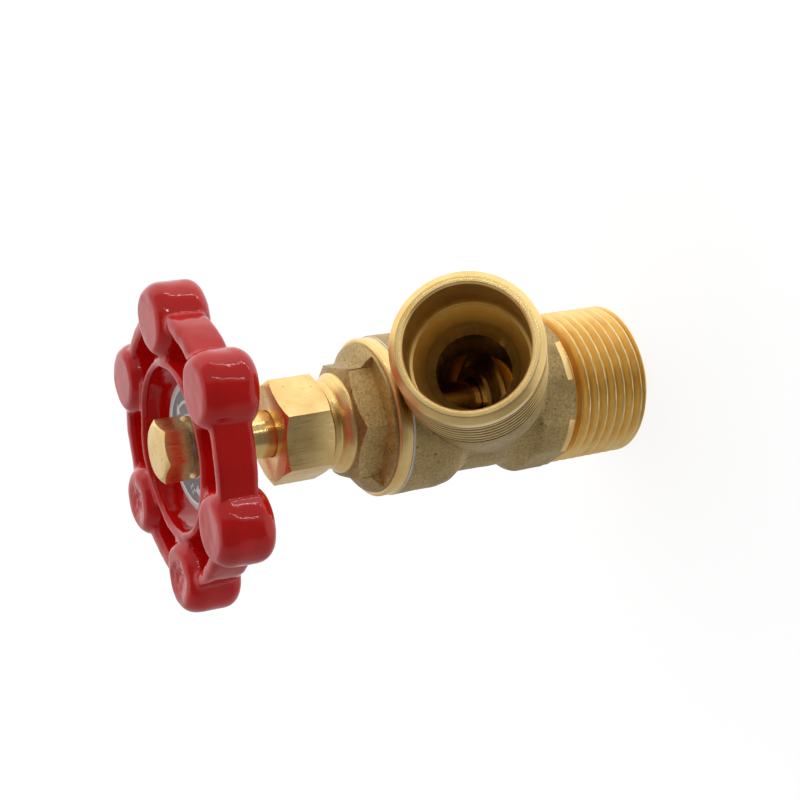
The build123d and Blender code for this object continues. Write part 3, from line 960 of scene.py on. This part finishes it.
def make_camera():
    data = bpy.data.cameras.new("camera")
    data.lens = camera_lens
    data.sensor_width = 36
    data.clip_start = 0.01
    obj = bpy.data.objects.new("camera", data)
    bpy.context.scene.collection.objects.link(obj)
    right, up, back = camera_offset
    location = camera_aim + camera_right * right + camera_up * up + camera_back * back
    place(obj, location, camera_right, camera_up, camera_back)
    bpy.context.scene.camera = obj


def strip_light(name, angle, radiance):
    """A long thin tube lamp across the picture, at this angle above the camera."""
    data = bpy.data.lights.new(name, "AREA")
    data.shape = "RECTANGLE"
    data.size = 0.6
    data.size_y = 0.006
    data.energy = radiance * pi * data.size * data.size_y
    obj = bpy.data.objects.new(name, data)
    bpy.context.scene.collection.objects.link(obj)
    back = camera_back * cos(radians(angle)) + camera_up * sin(radians(angle))
    place(obj, camera_aim + back * 0.5 + camera_right * 0.2, camera_right, back.cross(camera_right), back)


def studio_world():
    """A pale tent that is brightest overhead in the picture, with the dark room behind the camera."""
    world = bpy.data.worlds.new("studio")
    world.use_nodes = True
    bpy.context.scene.world = world
    tree = world.node_tree
    tree.nodes.clear()
    direction = add_node(tree, "TexCoord").outputs["Generated"]

    def along(axis):
        return add_node(tree, "VectorMath", {0: direction, 1: axis}, operation="DOT_PRODUCT").outputs["Value"]

    # Angle round the picture's long side: 0.5 is the camera, 0.75 overhead, 0 and 1 behind the valve.
    angle = math_node(tree, "ARCTAN2", along(camera_up), along(camera_back))
    turn = add_node(tree, "Math", {0: angle, 1: 1 / tau, 2: 0.5}, operation="MULTIPLY_ADD").outputs[0]
    tent = ramp(
        tree,
        turn,
        (0.0, 0.72),
        (0.08, 0.38),
        (0.33, 0.33),
        (0.37, 0.13),
        (0.55, 0.13),
        (0.58, 0.42),
        (0.69, 0.42),
        (0.72, 0.97),
        (0.91, 0.97),
        (1.0, 0.72),
    )
    side = math_node(tree, "ABSOLUTE", along(camera_right))
    tent = mix(tree, ramp(tree, side, (0.82, 0.0), (0.92, 1.0)), tent, (0.68, 0.68, 0.68, 1))
    light = add_node(tree, "Background", {"Color": tent, "Strength": 1.4})
    seen = add_node(tree, "Background", {"Color": (1, 1, 1, 1), "Strength": 1.0})
    camera_ray = add_node(tree, "LightPath").outputs["Is Camera Ray"]
    both = add_node(tree, "MixShader", {0: camera_ray, 1: light.outputs[0], 2: seen.outputs[0]})
    output = add_node(tree, "OutputWorld")
    tree.links.new(both.outputs[0], output.inputs["Surface"])


def make_floor():
    """A pale self-lit floor under the inlet's face. The valve does not mirror it."""
    size = 3.0
    height = cad_box[0].z - 0.0002
    corners = [(x, y, height) for x, y in ((-size, -size), (size, -size), (size, size), (-size, size))]
    floor = new_object("floor", corners, [(0, 1, 2, 3)])
    material, tree, shader = new_material("pale_floor", Roughness=0.9, Base_Color=(0.25, 0.25, 0.25, 1))
    shader.inputs["Emission Color"].default_value = (1, 1, 1, 1)
    shader.inputs["Emission Strength"].default_value = 0.85
    floor.data.materials.append(material)
    floor.visible_glossy = False
    floor.visible_diffuse = False


make_camera()
make_floor()
studio_world()
strip_light("upper_strip", 73, 25)
strip_light("lower_strip", 33, 25)
bpy.context.scene.view_settings.view_transform = "Standard"
